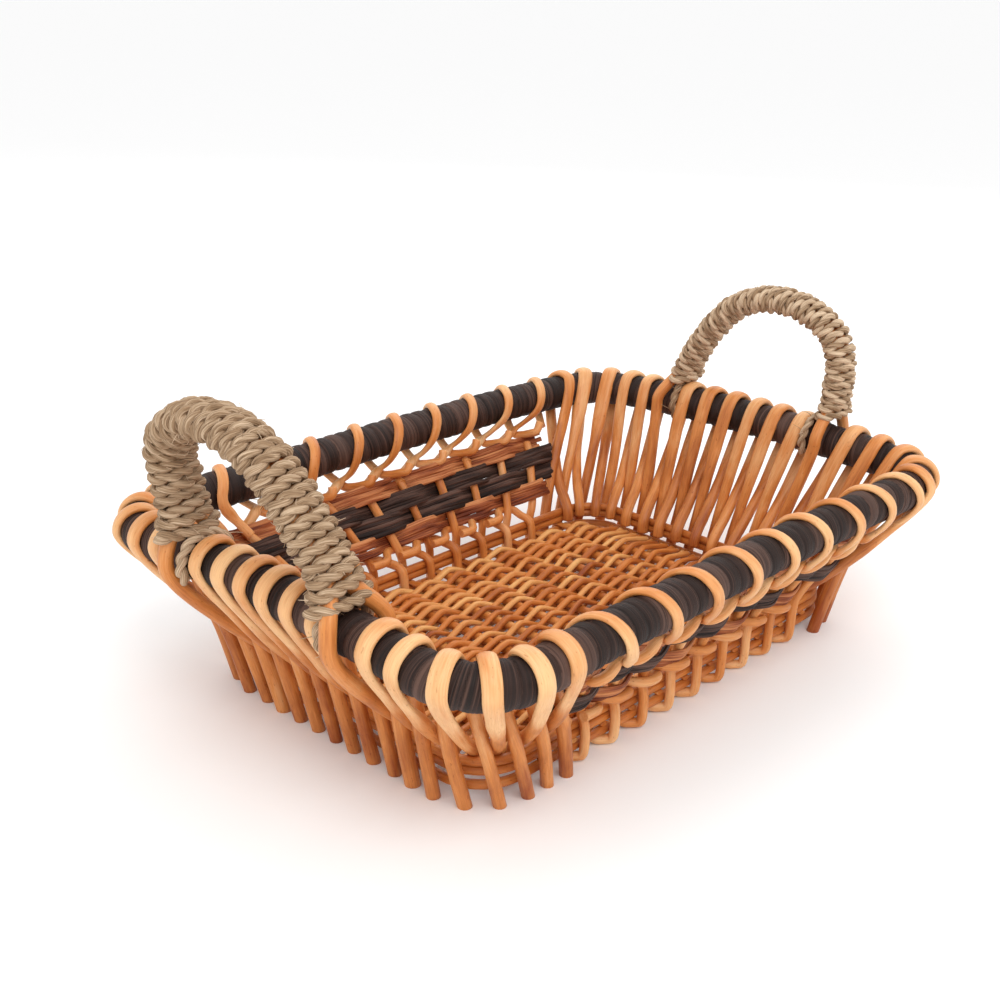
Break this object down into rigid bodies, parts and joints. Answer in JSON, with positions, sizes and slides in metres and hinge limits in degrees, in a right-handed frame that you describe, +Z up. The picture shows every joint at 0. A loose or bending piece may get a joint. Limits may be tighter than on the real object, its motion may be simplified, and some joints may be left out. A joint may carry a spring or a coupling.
{
  "type": "bread basket",
  "caption": "Low oblong woven willow bread basket with a dark wrapped rim, banded side walls and a rope-wound arched handle at each end.",
  "frame": {"origin": "middle of the footprint on the table, at the level of the cut rod ends the basket stands on", "axes": "+X along the basket towards the slimmer handle, +Y across it, +Z up"},
  "size_m": [0.414, 0.2917, 0.1768],
  "materials": {
    "peeled_willow": "peeled and varnished, satin",
    "base_willow": "buff willow, satin",
    "rim_bundle": "raw",
    "dark_palm": "dyed palm leaf strands, slight sheen",
    "red_bark": "red-brown bark strips, slight sheen",
    "seagrass_rope": "twisted seagrass, matt"
  },
  "bodies": {
    "root": {"back_border_strands": "peeled_willow", "back_left_corner_rods": "peeled_willow", "back_lower_dark_band": "dark_palm", "back_lower_red_band": "red_bark", "back_right_corner_rods": "peeled_willow", "back_stakes": "peeled_willow", "back_upper_dark_band": "dark_palm", "back_upper_red_band": "red_bark", "base_hoop_lower": "base_willow", "base_hoop_middle": "base_willow", "base_hoop_upper": "base_willow", "base_sticks": "base_willow", "base_weavers_even": "base_willow", "base_weavers_odd": "base_willow", "front_border_strands": "peeled_willow", "front_left_corner_rods": "peeled_willow", "front_lower_dark_band": "dark_palm", "front_lower_red_band": "red_bark", "front_right_corner_rods": "peeled_willow", "front_stakes": "peeled_willow", "front_upper_dark_band": "dark_palm", "front_upper_red_band": "red_bark", "left_back_lashing": "seagrass_rope", "left_end_rods": "peeled_willow", "left_front_lashing": "seagrass_rope", "left_handle_inner_rod": "peeled_willow", "left_handle_outer_rod": "peeled_willow", "left_handle_rope": "seagrass_rope", "right_back_lashing": "seagrass_rope", "right_end_rods": "peeled_willow", "right_front_lashing": "seagrass_rope", "right_handle_inner_rod": "peeled_willow", "right_handle_outer_rod": "peeled_willow", "right_handle_rope": "seagrass_rope", "rim_core": "rim_bundle", "rim_wrap": "dark_palm"}
  },
  "joints": []
}
